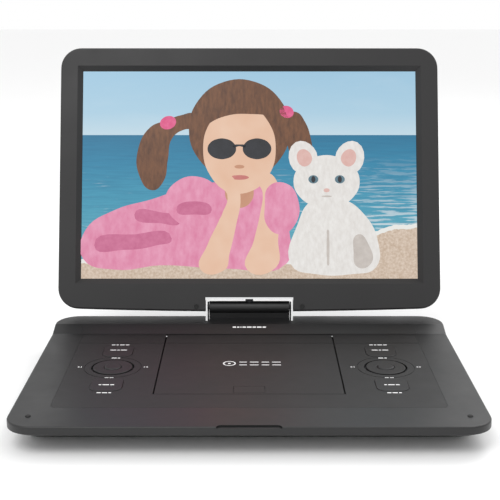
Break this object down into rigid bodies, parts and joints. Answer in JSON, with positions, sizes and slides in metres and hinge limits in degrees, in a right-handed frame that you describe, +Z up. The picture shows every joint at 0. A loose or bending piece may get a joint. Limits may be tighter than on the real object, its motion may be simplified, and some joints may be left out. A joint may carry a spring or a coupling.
{
  "type": "portable dvd player",
  "caption": "Portable disc player: flat base with disc well, door and key pads, and a wide display lid on a tilt and swivel hinge.",
  "frame": {"origin": "on the table plane, under the middle of the base's outline", "axes": "+X to the right of someone facing the display, +Y towards the back, +Z up; the lid is open as in use"},
  "size_m": [0.344, 0.3164, 0.2607],
  "materials": {
    "shell_abs": "satin injection-moulded ABS",
    "deck_abs": "fine-grained satin ABS",
    "key_abs": "satin ABS key caps",
    "inner_abs": "moulded ABS, as moulded",
    "circuit_board": "solder-masked glass-fibre board",
    "steel": "plated steel",
    "bush_brass": "turned brass",
    "chrome_trim": "bright chrome plating",
    "rubber_parts": "moulded black rubber",
    "display_glass": "lit display behind a polarising film",
    "lens_glass": "coated lens",
    "battery_wrap": "shrink-wrapped cell pack"
  },
  "bodies": {
    "base": {"av_jack": "inner_abs", "base_bottom_shell": "shell_abs", "base_screws": "steel", "base_top_cover": "shell_abs", "battery_pack": "battery_wrap", "card_slot": "steel", "control_deck": "deck_abs", "disc_well": "inner_abs", "door_hinge_pins": "steel", "drive_dampers": "rubber_parts", "drive_plate": "steel", "guide_rods": "steel", "headphone_jack": "inner_abs", "hinge_bracket": "steel", "hinge_pedestal": "shell_abs", "left_key_board": "circuit_board", "left_speaker": "inner_abs", "main_board": "circuit_board", "power_board": "circuit_board", "power_inlet": "inner_abs", "rear_rail": "shell_abs", "right_key_board": "circuit_board", "right_speaker": "inner_abs", "rim_bumpers": "rubber_parts", "rubber_feet": "rubber_parts", "sled_motor": "steel", "spindle_motor": "steel", "usb_port": "steel"},
    "hinge_block": {"hinge_barrel_front": "shell_abs", "hinge_barrel_rear": "shell_abs", "tilt_pins": "steel", "swivel_shaft": "steel", "swivel_retaining_ring": "steel"},
    "lid": {"lid_bezel": "shell_abs", "lid_back": "shell_abs", "display_panel": "display_glass", "display_board": "circuit_board", "swivel_plate": "steel", "swivel_bush": "bush_brass", "notch_trim": "chrome_trim", "bezel_plugs": "rubber_parts", "lid_screws": "steel"},
    "door": {"disc_door": "deck_abs"},
    "open_button": {"open_button": "deck_abs"},
    "door_latch": {"door_latch": "deck_abs"},
    "turntable": {"turntable_hub": "inner_abs", "hub_balls": "steel"},
    "pickup": {"pickup_sled": "inner_abs"},
    "lens": {"objective_lens": "lens_glass"},
    "lead_screw": {"lead_screw": "steel"},
    "volume_wheel": {"volume_wheel": "key_abs"},
    "power_switch": {"power_switch_knob": "key_abs"},
    "left_upper_key": {"left_upper_key": "key_abs"},
    "left_lower_key": {"left_lower_key": "key_abs"},
    "left_navigation_ring": {"left_navigation_ring": "key_abs"},
    "left_centre_key": {"left_centre_key": "key_abs"},
    "right_upper_key": {"right_upper_key": "key_abs"},
    "right_lower_key": {"right_lower_key": "key_abs"},
    "right_navigation_ring": {"right_navigation_ring": "key_abs"},
    "right_centre_key": {"right_centre_key": "key_abs"}
  },
  "joints": [
    {"name": "lid_tilt", "type": "hinge", "parent": "base", "child": "hinge_block", "pos_m": [0, 0.116, 0.035], "axis": [-1, 0, 0], "range_deg": [-109.7, 20]},
    {"name": "lid_swivel", "type": "hinge", "parent": "hinge_block", "child": "lid", "pos_m": [0, 0.116, 0.035], "axis": [0, 0.3206, 0.9472], "range_deg": [-180, 90]},
    {"name": "disc_door", "type": "hinge", "parent": "base", "child": "door", "pos_m": [0, 0.0752, 0.0209], "axis": [-1, 0, 0], "range_deg": [0, 50]},
    {"name": "open_button", "type": "slide", "parent": "door", "child": "open_button", "axis": [0, 0, 1], "range_m": [-0.0005, 0], "stiffness_N_per_m": 900},
    {"name": "door_latch", "type": "slide", "parent": "door", "child": "door_latch", "axis": [0, 1, 0], "range_m": [0, 0.0005]},
    {"name": "left_upper_key", "type": "slide", "parent": "base", "child": "left_upper_key", "axis": [0, 0, 1], "range_m": [-0.0008, 0], "stiffness_N_per_m": 900},
    {"name": "left_lower_key", "type": "slide", "parent": "base", "child": "left_lower_key", "axis": [0, 0, 1], "range_m": [-0.0008, 0], "stiffness_N_per_m": 900},
    {"name": "left_navigation_ring", "type": "slide", "parent": "base", "child": "left_navigation_ring", "axis": [0, 0, 1], "range_m": [-0.0008, 0], "stiffness_N_per_m": 900},
    {"name": "left_centre_key", "type": "slide", "parent": "base", "child": "left_centre_key", "axis": [0, 0, 1], "range_m": [-0.0008, 0], "stiffness_N_per_m": 900},
    {"name": "right_upper_key", "type": "slide", "parent": "base", "child": "right_upper_key", "axis": [0, 0, 1], "range_m": [-0.0008, 0], "stiffness_N_per_m": 900},
    {"name": "right_lower_key", "type": "slide", "parent": "base", "child": "right_lower_key", "axis": [0, 0, 1], "range_m": [-0.0008, 0], "stiffness_N_per_m": 900},
    {"name": "right_navigation_ring", "type": "slide", "parent": "base", "child": "right_navigation_ring", "axis": [0, 0, 1], "range_m": [-0.0008, 0], "stiffness_N_per_m": 900},
    {"name": "right_centre_key", "type": "slide", "parent": "base", "child": "right_centre_key", "axis": [0, 0, 1], "range_m": [-0.0008, 0], "stiffness_N_per_m": 900},
    {"name": "turntable_spin", "type": "hinge", "parent": "base", "child": "turntable", "pos_m": [0, 0.008, 0.014], "axis": [0, 0, 1], "continuous": true},
    {"name": "pickup_travel", "type": "slide", "parent": "base", "child": "pickup", "axis": [0, -1, 0], "range_m": [0, 0.032]},
    {"name": "lens_focus", "type": "slide", "parent": "pickup", "child": "lens", "axis": [0, 0, 1], "range_m": [-0.0004, 0.0004], "stiffness_N_per_m": 60},
    {"name": "lead_screw_turn", "type": "hinge", "parent": "base", "child": "lead_screw", "pos_m": [-0.023, 0, 0.0066], "axis": [0, -1, 0], "range_deg": [-20, 3860]},
    {"name": "volume_wheel", "type": "hinge", "parent": "base", "child": "volume_wheel", "pos_m": [0.1611, -0.048, 0.0106], "axis": [0, 0, 1], "range_deg": [0, 270]},
    {"name": "power_switch", "type": "slide", "parent": "base", "child": "power_switch", "axis": [0, 1, 0], "range_m": [0, 0.006]}
  ],
  "couplings": [
    {"joint": "door_latch", "follows": "open_button", "ratio": -1},
    {"joint": "lead_screw_turn", "follows": "pickup_travel", "rad_per_m": 2094.4}
  ]
}
